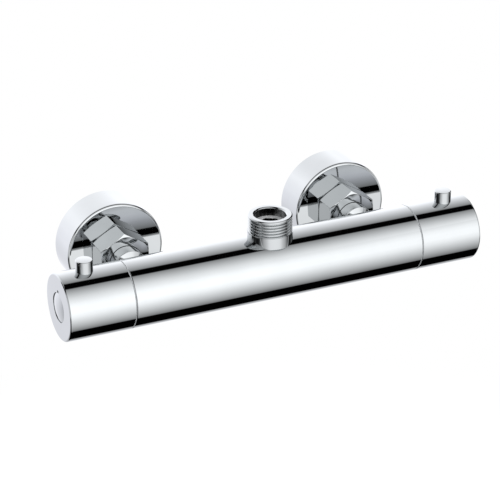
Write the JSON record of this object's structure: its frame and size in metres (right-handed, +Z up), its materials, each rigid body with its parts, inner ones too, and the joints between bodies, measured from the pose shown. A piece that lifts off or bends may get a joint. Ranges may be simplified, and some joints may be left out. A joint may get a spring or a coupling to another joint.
{
  "type": "bar shower mixer",
  "caption": "Chrome thermostatic bar shower mixer: round bar with a lever-pin handle at each end, threaded top outlet, hexagon union nuts and deep round wall flanges.",
  "frame": {"origin": "on the finished wall, midway between the two threaded wall tails, at their axes", "axes": "+X along the bar to the flow handle, +Y into the wall, +Z up along the outlet"},
  "size_m": [0.2646, 0.108, 0.0631],
  "materials": {
    "chrome": "polished chrome plating over brass",
    "brass": "machined brass",
    "spring_steel": "stainless steel",
    "rubber": "smooth black rubber",
    "plastic": "white moulded plastic",
    "ceramic": "polished ceramic"
  },
  "bodies": {
    "mixer": {"bar_body": "chrome", "outlet_nipple": "chrome", "hot_inlet_nipple": "chrome", "cold_inlet_nipple": "chrome", "hot_union_nut": "chrome", "cold_union_nut": "chrome", "hot_wall_flange": "chrome", "cold_wall_flange": "chrome", "hot_eccentric_union": "brass", "cold_eccentric_union": "brass", "thermostat_housing": "brass", "flow_housing": "brass", "temperature_retaining_nut": "brass", "flow_retaining_nut": "brass", "thermostat_spring": "spring_steel", "hot_check_spring": "spring_steel", "cold_check_spring": "spring_steel", "outlet_oring": "rubber", "hot_inlet_oring": "rubber", "cold_inlet_oring": "rubber", "hot_filter_washer": "rubber", "cold_filter_washer": "rubber", "thermostat_orings": "rubber", "flow_orings": "rubber", "flow_seat_seal": "rubber", "temperature_stop_ring": "plastic", "flow_stop_ring": "plastic", "hot_check_valve_body": "plastic", "cold_check_valve_body": "plastic", "fixed_ceramic_disc": "ceramic"},
    "temperature_control": {"temperature_handle": "chrome", "temperature_lever_pin": "chrome", "temperature_end_cap": "chrome", "temperature_screw": "spring_steel", "thermostat_spindle": "brass", "temperature_spindle_oring": "rubber", "temperature_slip_ring": "plastic"},
    "regulator": {"adjuster_nut": "brass", "wax_element": "brass", "regulating_piston": "plastic"},
    "flow_control": {"flow_handle": "chrome", "flow_lever_pin": "chrome", "flow_end_cap": "chrome", "flow_screw": "spring_steel", "flow_spindle": "brass", "flow_spindle_oring": "rubber", "rotating_ceramic_disc": "ceramic", "flow_slip_ring": "plastic"},
    "hot_check_valve": {"hot_check_poppet": "plastic"},
    "cold_check_valve": {"cold_check_poppet": "plastic"}
  },
  "joints": [
    {"name": "temperature_turn", "type": "hinge", "parent": "mixer", "child": "temperature_control", "pos_m": [-0.0915, -0.0783, 0.007], "axis": [-1, 0, 0], "range_deg": [-90, 90]},
    {"name": "regulator_slide", "type": "slide", "parent": "mixer", "child": "regulator", "axis": [1, 0, 0], "range_m": [-0.0012, 0.0012], "deforming": ["thermostat_spring"]},
    {"name": "flow_turn", "type": "hinge", "parent": "mixer", "child": "flow_control", "pos_m": [0.0915, -0.0783, 0.007], "axis": [1, 0, 0], "range_deg": [0, 90]},
    {"name": "hot_check_slide", "type": "slide", "parent": "mixer", "child": "hot_check_valve", "axis": [0, -1, 0], "range_m": [0, 0.0025], "stiffness_N_per_m": 80, "springref_m": -0.002, "deforming": ["hot_check_spring"]},
    {"name": "cold_check_slide", "type": "slide", "parent": "mixer", "child": "cold_check_valve", "axis": [0, -1, 0], "range_m": [0, 0.0025], "stiffness_N_per_m": 80, "springref_m": -0.002, "deforming": ["cold_check_spring"]}
  ],
  "couplings": [
    {"joint": "regulator_slide", "follows": "temperature_turn", "m_per_rad": 0.000763}
  ]
}
